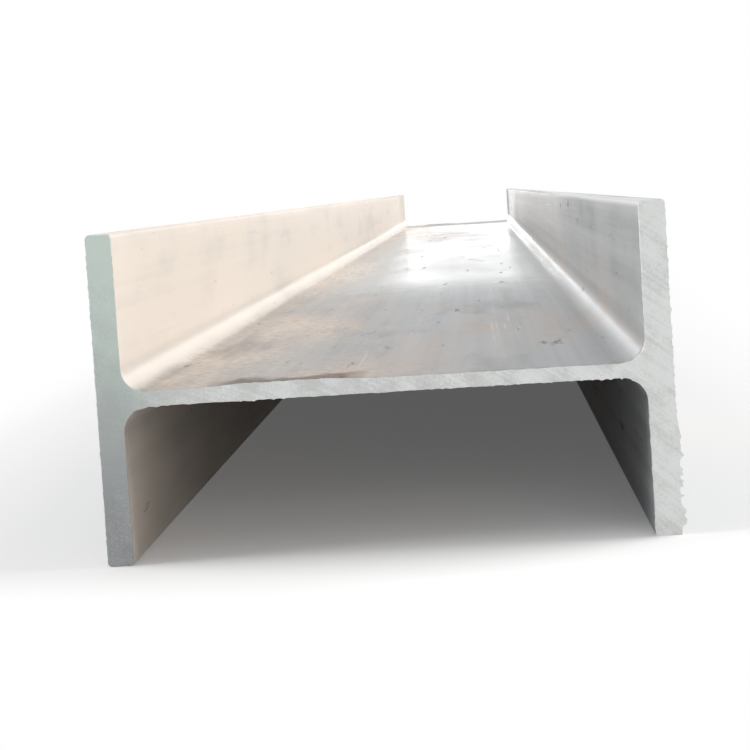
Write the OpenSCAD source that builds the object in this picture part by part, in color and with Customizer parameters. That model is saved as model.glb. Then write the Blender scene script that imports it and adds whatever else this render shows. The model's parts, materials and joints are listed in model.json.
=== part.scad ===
// Hot-rolled steel H-beam, lying with its web level and standing on the toes of both flanges.
// X runs across the depth of the section, Y along the beam and Z up the flanges. The origin is
// on the floor, under the middle of the beam.

/* [Section] */
// Depth of the section over the outer faces of both flanges
section_depth = 354; // [200:1:600]
// Width of each flange from toe to toe
flange_width = 205; // [120:1:400]
// Thickness of each flange
flange_thickness = 16.8; // [8:0.1:30]
// Thickness of the web between the flanges
web_thickness = 9.4; // [5:0.1:20]

/* [Rolled corners] */
// Radius of the fillets where the web meets the flanges
root_radius = 15; // [5:0.5:25]
// Radius of the four corners of each flange, at its toes
toe_radius = 2.5; // [0.5:0.1:3.5]

/* [Stock] */
// Length that the beam is sawn to
beam_length = 6000; // [1000:50:12000]

/* [Hidden] */
// Distance between the inner faces of the flanges
clear_depth = section_depth - 2 * flange_thickness;
// Distance of each flange's middle from the middle of the section
flange_offset = (section_depth - flange_thickness) / 2;
// How far the web and the fillets run into the metal that they join
overlap = web_thickness / 2;
$fn = 96;

// Rectangle about its centre, with all four corners rounded
module rounded_rectangle(width, height, radius) {
    square([width - 2 * radius, height], center = true);
    square([width, height - 2 * radius], center = true);
    for (x = [-1, 1], y = [-1, 1])
        translate([x * (width / 2 - radius), y * (height / 2 - radius)])
            circle(radius);
}

// Hollow fillet in the corner between two faces that meet at the origin
module root_fillet() {
    difference() {
        translate([-overlap, -overlap])
            square(root_radius + overlap);
        translate([root_radius, root_radius])
            circle(root_radius);
    }
}

// The rolled section about its centre, with the web level
module rolled_section() {
    square([clear_depth + 2 * overlap, web_thickness], center = true);
    for (side = [-1, 1])
        translate([side * flange_offset, 0])
            rounded_rectangle(flange_thickness, flange_width, toe_radius);
    for (x = [0, 1], y = [0, 1])
        mirror([x, 0])
            mirror([0, y])
                translate([-clear_depth / 2, web_thickness / 2])
                    root_fillet();
}

// The whole beam: one section rolled straight and sawn square at both ends
module h_beam() {
    color("slategray")
        translate([0, 0, flange_width / 2])
            rotate([90, 0, 0])
                linear_extrude(beam_length, center = true)
                    rolled_section();
}

h_beam();
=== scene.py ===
import json
import math

import bmesh
import bpy
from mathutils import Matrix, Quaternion, Vector, noise


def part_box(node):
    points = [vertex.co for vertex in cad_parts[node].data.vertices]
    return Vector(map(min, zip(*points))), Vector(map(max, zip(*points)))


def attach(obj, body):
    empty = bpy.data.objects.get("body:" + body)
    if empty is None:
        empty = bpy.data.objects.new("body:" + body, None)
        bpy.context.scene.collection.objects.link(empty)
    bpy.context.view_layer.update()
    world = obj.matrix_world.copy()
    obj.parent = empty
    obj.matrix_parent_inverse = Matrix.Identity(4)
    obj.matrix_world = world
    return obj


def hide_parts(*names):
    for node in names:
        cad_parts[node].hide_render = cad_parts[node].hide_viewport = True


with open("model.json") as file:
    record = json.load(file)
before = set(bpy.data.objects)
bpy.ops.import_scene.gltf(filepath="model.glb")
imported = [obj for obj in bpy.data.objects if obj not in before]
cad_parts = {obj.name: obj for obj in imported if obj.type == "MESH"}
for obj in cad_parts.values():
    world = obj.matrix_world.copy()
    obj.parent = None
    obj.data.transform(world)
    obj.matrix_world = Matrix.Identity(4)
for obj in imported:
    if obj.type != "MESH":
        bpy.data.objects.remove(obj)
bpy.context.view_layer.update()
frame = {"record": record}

# The beam is one length of hot-rolled structural steel. Its flanges, web and root fillets are rolled
# together from one hot bloom, so its skin is one closed surface. A quarter of the section is drawn,
# mirrored twice and drawn out to the stock length.
mounts = {mount["name"]: Vector(mount["pos_m"]) for mount in frame["record"]["mounts"]}
_, beam_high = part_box("h_beam")
half_depth = beam_high.x
half_length = beam_high.y
half_width = beam_high.z / 2
flange_thickness = 2 * (half_depth - mounts["right_lower_toe"].x)
half_web = (mounts["web_upper_face"].z - mounts["web_lower_face"].z) / 2
inner_face = half_depth - flange_thickness
root_radius = 0.015
root_segments = 8
toe_radius = 0.0025
toe_segments = 3
merge_distance = 1e-6


def round_corners(mesh, corners, radius, segments):
    bmesh.ops.bevel(
        mesh,
        geom=corners,
        offset=radius,
        offset_type="OFFSET",
        segments=segments,
        profile=0.5,
        affect="VERTICES",
        material=-1,
    )


beam = bmesh.new()
quarter = [
    beam.verts.new((x, -half_length, z))
    for x, z in (
        (0, 0),
        (half_depth, 0),
        (half_depth, half_width),
        (inner_face, half_width),
        (inner_face, half_web),
        (0, half_web),
    )
]
beam.faces.new(quarter)
round_corners(beam, quarter[2:4], toe_radius, toe_segments)
round_corners(beam, quarter[4:5], root_radius, root_segments)
for axis in ("X", "Z"):
    bmesh.ops.mirror(
        beam,
        geom=beam.verts[:] + beam.edges[:] + beam.faces[:],
        merge_dist=merge_distance,
        axis=axis,
    )
bmesh.ops.recalc_face_normals(beam, faces=beam.faces[:])
bmesh.ops.dissolve_faces(beam, faces=beam.faces[:])
bmesh.ops.translate(beam, verts=beam.verts[:], vec=(0, 0, half_width))

# The outline is cut into short steps and measured round, and rings along the beam stand closer together
# towards both ends, so that the sawn rims have room for their burrs.
outline_step = 0.006
rings_along = 120
ring_crowding = 2
for edge in beam.edges[:]:
    cuts = round(edge.calc_length() / outline_step) - 1
    if cuts > 0:
        bmesh.ops.subdivide_edges(beam, edges=[edge], cuts=cuts)
girth = beam.verts.layers.float.new("girth")
full_girth = 0.0
beam.faces.ensure_lookup_table()
for corner in beam.faces[0].loops:
    corner.vert[girth] = full_girth
    full_girth += corner.edge.calc_length()
drawn_out = bmesh.ops.extrude_face_region(beam, geom=beam.faces[:])
far_verts = [item for item in drawn_out["geom"] if isinstance(item, bmesh.types.BMVert)]
bmesh.ops.translate(beam, verts=far_verts, vec=(0, 2 * half_length, 0))
lengthwise = [edge for edge in beam.edges if abs(edge.verts[0].co.y - edge.verts[1].co.y) > half_length]
bmesh.ops.subdivide_edges(beam, edges=lengthwise, cuts=rings_along - 1, use_grid_fill=True)
for vert in beam.verts:
    share = vert.co.y / half_length
    vert.co.y = math.copysign(1 - (1 - abs(share)) ** ring_crowding, share) * half_length
bmesh.ops.recalc_face_normals(beam, faces=beam.faces[:])
beam.normal_update()

# A circular saw cuts the hot bar to length. It rounds over the edges where it goes in, and drags thin
# ragged teeth of burr out of the edges where it leaves, most of all down the right flange and under the
# web. A low lip is left standing on the web's upper edge, left of its middle.
rim_depth = 0.004
rim_zone = 2 * rim_depth
rim_width = 0.0012
rim_cuts = 5
burr_height = 0.003
burr_reach = 0.0013
burr_grain = 165
burr_sharpness = 2.2
burr_off_right = 0.25
burr_at_top = 0.35
burr_under_web = 0.4
swell_grain = 32
swell_mean = 0.75
swell_range = 0.9
lip_height = 0.0016
lip_evenness = 0.7
lip_start = -0.115
lip_full_from = -0.09
lip_full_to = -0.03
lip_end = -0.005
entry_round = 0.0006
least_round = 0.5
rim_edges = [
    edge
    for edge in beam.edges
    if abs(edge.verts[0].co.y - edge.verts[1].co.y) < merge_distance
    and half_length - abs(edge.verts[0].co.y) < rim_depth
]
bmesh.ops.subdivide_edges(beam, edges=rim_edges, cuts=rim_cuts, use_grid_fill=True)
beam.normal_update()


def ramp(value, start, end):
    return min(1, max(0, (value - start) / (end - start)))


def burr_share(place, outward):
    lower = 1 - place.z / (2 * half_width)
    on_right = 1.0 if place.x > inner_face else burr_off_right
    down_flange = burr_at_top + (1 - burr_at_top) * lower
    return on_right * max(0, outward.x) * down_flange + burr_under_web * max(0, -outward.z)


def lip_share(place, outward):
    on_web = ramp(abs(place.x), inner_face, inner_face - root_radius)
    rising = ramp(place.x, lip_start, lip_full_from)
    falling = ramp(place.x, lip_end, lip_full_to)
    return max(0, outward.z) * on_web * rising * falling


def rim_shift(place, outward):
    spot = Vector((place.x, place.z, math.copysign(1, place.y)))
    ridge = max(0, 1 - burr_sharpness * abs(noise.noise(spot * burr_grain)))
    swell = swell_mean + swell_range * noise.noise(spot * swell_grain)
    share = burr_share(place, outward)
    lip = lip_share(place, outward)
    burr = share * ridge**2 * swell * burr_height
    raised = lip * (lip_evenness + (1 - lip_evenness) * ridge) * lip_height
    rounded = (1 - share) * (1 - lip) * (least_round + ridge) * entry_round
    return burr + raised - rounded


# The skin is unrolled into one strip of the beam's own UV map. The two ends lie beside it at a larger scale,
# each with its rim folded flat around it.
strip_start = 0.01
strip_width = 0.72
strip_margin = 0.005
end_scale = 1.1
end_column = 0.8725
end_rows = (0.27, 0.73)
unrolled = beam.loops.layers.uv.new("OFBake")


def outward_at(vert):
    return Vector((vert.normal.x, 0, vert.normal.z)).normalized()


def on_end(vert):
    flat_place = vert.co + outward_at(vert) * (half_length - abs(vert.co.y))
    row = end_rows[vert.co.y > 0]
    return end_column + end_scale * (flat_place.z - half_width), row + end_scale * flat_place.x


def on_strip(vert, seam):
    round_beam = vert[girth] + (full_girth if vert[girth] < seam else 0)
    along_beam = 0.5 + vert.co.y / (2 * half_length)
    return (
        strip_start + strip_width * round_beam / full_girth,
        strip_margin + (1 - 2 * strip_margin) * along_beam,
    )


for face in beam.faces:
    girths = [vert[girth] for vert in face.verts]
    seam = full_girth / 2 if max(girths) - min(girths) > full_girth / 2 else 0
    in_rim = half_length - abs(face.calc_center_median().y) < rim_zone
    for corner in face.loops:
        corner[unrolled].uv = on_end(corner.vert) if in_rim else on_strip(corner.vert, seam)

# No rolled face is quite flat. The web and the flanges stray from true by tenths of a millimetre, in long
# shallow waves that die away where the web meets the flanges.
wave_height = 0.0005
wave_stretch = Vector((4.0, 1.4, 4.0))
flange_apart = 20
still_edge = 3 * root_radius
web_only = Vector((1, 1, 0))
flange_only = Vector((0, 1, 1))


def wave_shift(place):
    spot = place * wave_stretch
    side = Vector((math.copysign(flange_apart, place.x), 0, 0))
    on_web = ramp(abs(place.x), inner_face, inner_face - still_edge)
    off_web = abs(place.z - half_width) / half_width
    lift = on_web * noise.noise(spot * web_only)
    lean = off_web * noise.noise(spot * flange_only + side)
    return Vector((lean, 0, lift)) * wave_height


shifts = {}
for vert in beam.verts:
    shifts[vert] = wave_shift(vert.co)
    to_end = half_length - abs(vert.co.y)
    if to_end < rim_zone:
        outward = outward_at(vert)
        shifts[vert] += outward * rim_shift(vert.co, outward) * math.exp(-to_end / burr_reach)
for vert, shift in shifts.items():
    vert.co += shift
    vert.co.z = max(0, vert.co.z)

# The two ends and a narrow rim behind each are sawn steel, and the rest keeps its rolled skin. The flat ends
# meet the rim at a sharp edge.
SKIN = 0
SAWN = 1
for face in beam.faces:
    to_end = half_length - abs(face.calc_center_median().y)
    face.material_index = SAWN if to_end < rim_width else SKIN
    face.smooth = to_end > merge_distance
for edge in beam.edges:
    edge.smooth = all(face.smooth for face in edge.link_faces)

beam_mesh = bpy.data.meshes.new("rolled_beam")
beam.to_mesh(beam_mesh)
beam.free()
rolled_beam = bpy.data.objects.new("rolled_beam", beam_mesh)
bpy.context.scene.collection.objects.link(rolled_beam)
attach(rolled_beam, "root")
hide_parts("h_beam")

# The skin is mill scale, the blue-grey oxide that forms on the hot bar. It is streaked along the beam by
# the rolls and has a thin warm film of rust, heaviest on the left flange and the left of the web.
scale_dark = (0.162, 0.174, 0.183, 1)
scale_light = (0.354, 0.373, 0.385, 1)
skin_metal = 0.3
web_edge = half_web + 0.3 * root_radius
flange_foot = half_web + 0.8 * root_radius
flange_clear = half_web + 1.6 * root_radius
outer_start = half_depth - 0.002
outer_full = half_depth - 0.001


def add_node(tree, kind, sockets=None, **settings):
    made = tree.nodes.new("ShaderNode" + kind)
    for name, value in settings.items():
        setattr(made, name, value)
    for name, value in (sockets or {}).items():
        if isinstance(value, bpy.types.NodeSocket):
            tree.links.new(value, made.inputs[name])
        else:
            made.inputs[name].default_value = value
    return made


def reckon(tree, operation, first, second=0.0):
    return add_node(tree, "Math", {0: first, 1: second}, operation=operation).outputs[0]


def weigh(tree, *parts):
    total = 0.0
    for value, weight in parts:
        sockets = {0: value, 1: weight, 2: total}
        total = add_node(tree, "Math", sockets, operation="MULTIPLY_ADD").outputs[0]
    return total


def step_between(tree, value, start, end):
    sockets = {"Value": value, "From Min": start, "From Max": end}
    return add_node(tree, "MapRange", sockets, interpolation_type="SMOOTHSTEP").outputs[0]


def mix_colours(tree, share, first, second):
    # This node has sockets of one name for numbers, vectors and colours, so they are told apart by place.
    made = add_node(tree, "Mix", {0: share, 6: first, 7: second}, data_type="RGBA")
    return made.outputs[2]


def grain(tree, place, stretch, detail, roughness=0.6):
    scaled = add_node(tree, "Mapping", {"Vector": place, "Scale": stretch}).outputs[0]
    sockets = {"Vector": scaled, "Scale": 1.0, "Detail": detail, "Roughness": roughness}
    return add_node(tree, "TexNoise", sockets).outputs[0]


def new_material(name):
    material = bpy.data.materials.new(name)
    material.use_nodes = True
    tree = material.node_tree
    return material, tree, tree.nodes["Principled BSDF"]


def own_place(tree):
    place = add_node(tree, "TexCoord").outputs["Object"]
    return place, add_node(tree, "SeparateXYZ", {0: place}).outputs


mill_scale, tree, skin = new_material("mill_scale")
skin.inputs["Metallic"].default_value = skin_metal
place, (across, along, up) = own_place(tree)
from_web = reckon(tree, "ABSOLUTE", reckon(tree, "SUBTRACT", up, half_width))
above_web = step_between(tree, from_web, half_web, web_edge)
on_flange = step_between(tree, from_web, flange_foot, flange_clear)
in_fillet = reckon(tree, "SUBTRACT", above_web, on_flange)
# Painted shade darkens the outer faces of the flanges.
outer_face_shade = step_between(tree, reckon(tree, "ABSOLUTE", across), outer_start, outer_full)

# The rolls leave faint streaks along the scale. It is darker in long clouds, where it has not flaked, and
# the outer faces are darkened by painted shade.
clouds = grain(tree, place, stretch=(6.0, 1.1, 6.0), detail=6, roughness=0.55)
streaks = grain(tree, place, stretch=(70, 0.5, 70), detail=4)
flakes = grain(tree, place, stretch=(26, 6, 26), detail=5, roughness=0.55)
paleness = weigh(tree, (clouds, 0.4), (streaks, 0.4), (flakes, 0.2), (outer_face_shade, -0.1))
scale_tone = step_between(tree, paleness, start=0.28, end=0.7)
scale_colour = mix_colours(tree, scale_tone, scale_dark, scale_light)

# Rust starts as brown speckles that run together into a paler film. The film is even on the inside of the
# left flange, where its paleness is partly painted light on the lit face, and thins out across the web.
rust_deep = (0.3, 0.175, 0.105, 1)
# The pale end of the rust colour is partly painted light.
rust_pale_and_light = (0.68, 0.605, 0.53, 1)
film_start = 0.002 - half_depth
film_full = 0.006 - half_depth
film_thick = -0.13
film_end = 0.07
fillet_foot = root_radius - inner_face
speckle = grain(tree, place, stretch=(170, 130, 170), detail=4)
flaked = step_between(tree, flakes, start=0.57, end=0.63)
inside = step_between(tree, across, film_start, film_full)
left_side = reckon(tree, "MULTIPLY", step_between(tree, across, film_end, film_thick), inside)
# The inside of the left flange gets more and paler film, partly painted light from the lit side.
left_inside_rust_and_light = reckon(tree, "MULTIPLY", step_between(tree, across, fillet_foot, -inner_face), inside)
rusting = weigh(
    tree,
    (clouds, 0.65),
    (speckle, 0.35),
    (flaked, 0.04),
    (left_side, 0.22),
    (left_inside_rust_and_light, 0.34),
)
rust_share = step_between(tree, rusting, start=0.52, end=0.8)
paling_and_light = weigh(tree, (clouds, 0.3), (speckle, 0.4), (left_side, 0.2), (left_inside_rust_and_light, 0.25))
rust_tone = step_between(tree, paling_and_light, start=0.3, end=0.7)
rust_colour = mix_colours(tree, rust_tone, rust_deep, rust_pale_and_light)
film = weigh(tree, (streaks, 0.5), (flakes, 0.5), (clouds, 0.7), (left_inside_rust_and_light, 0.14))
weathered = mix_colours(tree, reckon(tree, "MULTIPLY", rust_share, film), scale_colour, rust_colour)

# The web is darkened to brown in a thin line just behind the lip. Slings and hands have dulled and smudged
# the web, for a long way at the near end and for a short one at the far end.
# A brown line is painted just behind the web's lip.
lip_line_brown = (0.15, 0.1, 0.075, 1)
dirt_colour = (0.06, 0.055, 0.05, 1)
lip_line_strength = 0.7
lip_line_end = 0.145 - half_length
lip_line_full = 0.115 - half_length
smudge_strength = 0.4
near_dull_end = 1.6 - half_length
near_dull_full = 0.8 - half_length
far_dull_start = half_length - 0.6
far_dull_full = half_length - 0.2
beside_lip = reckon(
    tree,
    "MULTIPLY",
    step_between(tree, across, lip_start, lip_full_from),
    step_between(tree, across, lip_end, lip_full_to),
)
ragged = weigh(tree, (along, 1.0), (flakes, 0.15))
near_lip = step_between(tree, ragged, lip_line_end, lip_line_full)
behind_lip = reckon(tree, "MULTIPLY", near_lip, beside_lip)
marked = mix_colours(tree, reckon(tree, "MULTIPLY", behind_lip, lip_line_strength), weathered, lip_line_brown)
near_handled = step_between(tree, along, near_dull_end, near_dull_full)
far_handled = step_between(tree, along, far_dull_start, far_dull_full)
handled = reckon(tree, "MAXIMUM", near_handled, far_handled)
web_handled = reckon(tree, "SUBTRACT", handled, above_web)
prints = grain(tree, place, stretch=(18, 2.5, 18), detail=5)
smudges = step_between(tree, prints, start=0.53, end=0.68)
smudged = reckon(tree, "MULTIPLY", smudges, reckon(tree, "MULTIPLY", web_handled, smudge_strength))
greased = mix_colours(tree, smudged, marked, dirt_colour)

# Dirt lies in short dashes along the beam. Handling has scuffed thin bright lines into the skin, and has
# worn the toes of the flanges bare in places.
bare_steel = (0.52, 0.52, 0.51, 1)
dirt_strength = 0.5
scuff_strength = 0.5
toe_wear_start = half_width - 0.005
toe_wear_full = half_width - 0.001
dashes = grain(tree, place, stretch=(70, 8, 70), detail=3)
dirt = step_between(tree, weigh(tree, (dashes, 1.0), (left_inside_rust_and_light, -0.04)), start=0.64, end=0.74)
dirtied = mix_colours(tree, reckon(tree, "MULTIPLY", dirt, dirt_strength), greased, dirt_colour)
scratches = grain(tree, place, stretch=(190, 3, 190), detail=2)
scuffs = step_between(tree, scratches, start=0.68, end=0.74)
scuffed = reckon(tree, "MULTIPLY", scuffs, scuff_strength)
toe_wear = reckon(
    tree,
    "MULTIPLY",
    step_between(tree, from_web, toe_wear_start, toe_wear_full),
    step_between(tree, streaks, start=0.4, end=0.6),
)
bared = reckon(tree, "MAXIMUM", toe_wear, scuffed)
tree.links.new(mix_colours(tree, bared, dirtied, bare_steel), skin.inputs["Base Color"])

# The web is rolled smoothest and shines, and so do its fillets, which no hand or sling rubs. The flanges are
# duller, and so are rust, dirt and the handled ends.
skin_smoothest = 0.1
skin_relief = 0.00008
rubbed = reckon(tree, "MULTIPLY", handled, reckon(tree, "SUBTRACT", 1.0, in_fillet))
dullness = weigh(
    tree,
    (clouds, 0.2),
    (rust_share, 0.06),
    (dirt, 0.2),
    (on_flange, 0.21),
    (rubbed, 0.18),
    (in_fillet, 0.07),
    (left_inside_rust_and_light, 0.08),
    (behind_lip, 0.4),
)
tree.links.new(reckon(tree, "ADD", dullness, skin_smoothest), skin.inputs["Roughness"])
relief = weigh(tree, (speckle, 0.4), (streaks, 0.6), (flaked, -0.4))
bump = add_node(tree, "Bump", {"Strength": 1.0, "Distance": skin_relief, "Height": relief})
tree.links.new(bump.outputs[0], skin.inputs["Normal"])
beam_mesh.materials.append(mill_scale)

# The sawn ends are bare steel with faint curved marks of a large saw blade, no two of one depth. The left
# flange's end is tinted a blue-green grey and darkened by painted shade, more so downwards, and the right
# one is painted a little brighter.
sawn_dark = (0.48, 0.49, 0.483, 1)
sawn_light = (0.63, 0.643, 0.635, 1)
sawn_metal = 0.35
sawn_smoothest = 0.36
sawn_relief = 0.0003
# The left flange end's blue-green tint darkens into painted shade towards the bottom.
tint_upper = (0.465, 0.54, 0.497, 1)
painted_shade_lower = (0.225, 0.235, 0.244, 1)
shade_dark_below = 0.14
shade_pale_above = 0.3
tint_and_shade_start = -0.12
tint_and_shade_full = -0.162
blade_centre = (-0.35, 0, -0.55)
end_plane = (1, 0, 1)
marks_per_metre = 420

sawn_steel, tree, sawn = new_material("sawn_steel")
sawn.inputs["Metallic"].default_value = sawn_metal
place, (across, _, up) = own_place(tree)
blade_place = {"Vector": place, "Location": blade_centre}
from_blade = add_node(tree, "Mapping", blade_place, vector_type="TEXTURE").outputs[0]
on_plane = add_node(tree, "VectorMath", {0: from_blade, 1: end_plane}, operation="MULTIPLY").outputs[0]
radius = add_node(tree, "VectorMath", {0: on_plane}, operation="LENGTH").outputs["Value"]
arc = add_node(tree, "CombineXYZ", {"X": radius, "Y": across, "Z": up}).outputs[0]
marks = grain(tree, arc, stretch=(marks_per_metre, 8, 8), detail=3)
blotches = grain(tree, place, stretch=(55, 55, 55), detail=6)
fine = grain(tree, place, stretch=(650, 650, 650), detail=3)
# Painted side light: the cut grows lighter towards the right and darker towards the left.
tone_and_side_shade = weigh(tree, (marks, 0.3), (blotches, 0.5), (fine, 0.3), (across, 0.25))
cut_tone = step_between(tree, tone_and_side_shade, start=0.44, end=0.66)
cut_colour = mix_colours(tree, cut_tone, sawn_dark, sawn_light)
# Painted shade: the tint darkens downwards over the left flange's end.
shade_height = weigh(tree, (up, 1.0), (blotches, 0.12), (fine, 0.1))
shade_tone = step_between(tree, shade_height, shade_dark_below, shade_pale_above)
tint_and_shade_colour = mix_colours(tree, shade_tone, painted_shade_lower, tint_upper)
patches = weigh(tree, (blotches, 0.9), (fine, 0.8))
tinted_and_shaded = reckon(tree, "MULTIPLY", step_between(tree, across, tint_and_shade_start, tint_and_shade_full), patches)
tree.links.new(mix_colours(tree, tinted_and_shaded, cut_colour, tint_and_shade_colour), sawn.inputs["Base Color"])
dullness = weigh(tree, (blotches, 0.25))
tree.links.new(reckon(tree, "ADD", dullness, sawn_smoothest), sawn.inputs["Roughness"])
relief = weigh(tree, (marks, 0.6), (fine, 0.4))
bump = add_node(tree, "Bump", {"Strength": 1.0, "Distance": sawn_relief, "Height": relief})
tree.links.new(bump.outputs[0], sawn.inputs["Normal"])
beam_mesh.materials.append(sawn_steel)

# The floor is a plain pale sheet that the beam lies on. It keeps the beam's shadow, which a painted white
# glow lifts a little where it is deepest, and fades to white away from the beam.
floor_radius = 80.0
floor_segments = 96
floor_colour = (0.85, 0.85, 0.845, 1)
floor_roughness = 0.9
floor_gloss = 0.1
fade_start = 0.0
fade_end = 0.45
# A painted white glow lifts the floor's deepest shadow.
least_fade = 0.095
white = (1, 1, 1, 1)


def background_rays(tree):
    rays = add_node(tree, "LightPath").outputs
    seen = reckon(tree, "MAXIMUM", rays["Is Camera Ray"], rays["Is Glossy Ray"])
    return reckon(tree, "MAXIMUM", seen, rays["Is Transmission Ray"])


def past_edge(tree, value, edge):
    return reckon(tree, "MAXIMUM", reckon(tree, "SUBTRACT", reckon(tree, "ABSOLUTE", value), edge), 0)


floor_shape = bmesh.new()
bmesh.ops.create_circle(floor_shape, cap_ends=True, segments=floor_segments, radius=floor_radius)
floor_mesh = bpy.data.meshes.new("floor")
floor_shape.to_mesh(floor_mesh)
floor_shape.free()
floor = bpy.data.objects.new("floor", floor_mesh)
bpy.context.scene.collection.objects.link(floor)
pale_floor, tree, matt = new_material("pale_floor")
matt.inputs["Base Color"].default_value = floor_colour
matt.inputs["Roughness"].default_value = floor_roughness
matt.inputs["Specular IOR Level"].default_value = floor_gloss
_, (across, along, _) = own_place(tree)
beside = past_edge(tree, across, half_depth)
beyond = past_edge(tree, along, half_length)
clear_of_beam = add_node(tree, "CombineXYZ", {"X": beside, "Y": beyond}).outputs[0]
away = add_node(tree, "VectorMath", {0: clear_of_beam}, operation="LENGTH").outputs["Value"]
paled = reckon(tree, "MAXIMUM", step_between(tree, away, fade_start, fade_end), least_fade)
fade = reckon(tree, "MULTIPLY", paled, background_rays(tree))
glow = add_node(tree, "Emission", {"Color": white, "Strength": 1.0}).outputs[0]
faded = add_node(tree, "MixShader", {0: fade, 1: matt.outputs[0], 2: glow}).outputs[0]
tree.links.new(faded, tree.nodes["Material Output"].inputs["Surface"])
floor_mesh.materials.append(pale_floor)

# A soft studio: an even pale room, a large soft light high on the right, a smaller one on the left, a fill
# in front that the steel does not mirror, and a long low window beyond the far end, which shines along the
# web.
room_light = 0.55
world = bpy.data.worlds.new("studio")
bpy.context.scene.world = world
world.use_nodes = True
tree = world.node_tree
room = tree.nodes["Background"]
room.inputs["Color"].default_value = white
room.inputs["Strength"].default_value = room_light
backdrop = add_node(tree, "Background", {"Color": white, "Strength": 1.0}).outputs[0]
shown = add_node(tree, "MixShader", {0: background_rays(tree), 1: room.outputs[0], 2: backdrop}).outputs[0]
tree.links.new(shown, tree.nodes["World Output"].inputs["Surface"])


def soft_light(name, place, target, width, height, power, mirrored=True):
    lamp = bpy.data.lights.new(name, "AREA")
    lamp.shape = "RECTANGLE"
    lamp.size = width
    lamp.size_y = height
    lamp.energy = power
    holder = bpy.data.objects.new(name, lamp)
    holder.location = place
    holder.rotation_mode = "QUATERNION"
    holder.rotation_quaternion = (Vector(target) - Vector(place)).to_track_quat("-Z", "Y")
    holder.visible_camera = False
    holder.visible_glossy = mirrored
    bpy.context.scene.collection.objects.link(holder)


soft_light("key", place=(5.0, -0.5, 2.9), target=(0, -0.5, 0.1), width=6.0, height=2.6, power=400)
soft_light(
    "fill",
    place=(1.2, -half_length - 5.2, 1.1),
    target=(0, -half_length, 0.1),
    width=3.0,
    height=2.0,
    power=72,
    mirrored=False,
)
soft_light("left", place=(-4.5, -2.0, 2.0), target=(0, -1.0, 0.1), width=5.0, height=2.5, power=245)
soft_light(
    "window",
    place=(0.3, half_length + 5.0, 0.25),
    target=(0.3, 0, 0.25),
    width=4.0,
    height=0.5,
    power=22,
)

# The camera stands where the photograph was taken, in front of the near end, a little right of the beam's
# middle and only just higher than its top. A long lens looks along the beam, turned a little off level.
camera_lens = 113.7
eye = Vector((0.0633, -half_length - 1.44, 0.2199))
aim = Vector((-0.0045, -half_length, 0.1089))
camera_roll = math.radians(-3.66)
camera_data = bpy.data.cameras.new("camera")
camera_data.lens = camera_lens
camera = bpy.data.objects.new("camera", camera_data)
camera.location = eye
camera.rotation_mode = "QUATERNION"
camera.rotation_quaternion = (aim - eye).to_track_quat("-Z", "Y") @ Quaternion((0, 0, 1), camera_roll)
bpy.context.scene.collection.objects.link(camera)
bpy.context.scene.camera = camera
bpy.context.scene.view_settings.view_transform = "Standard"
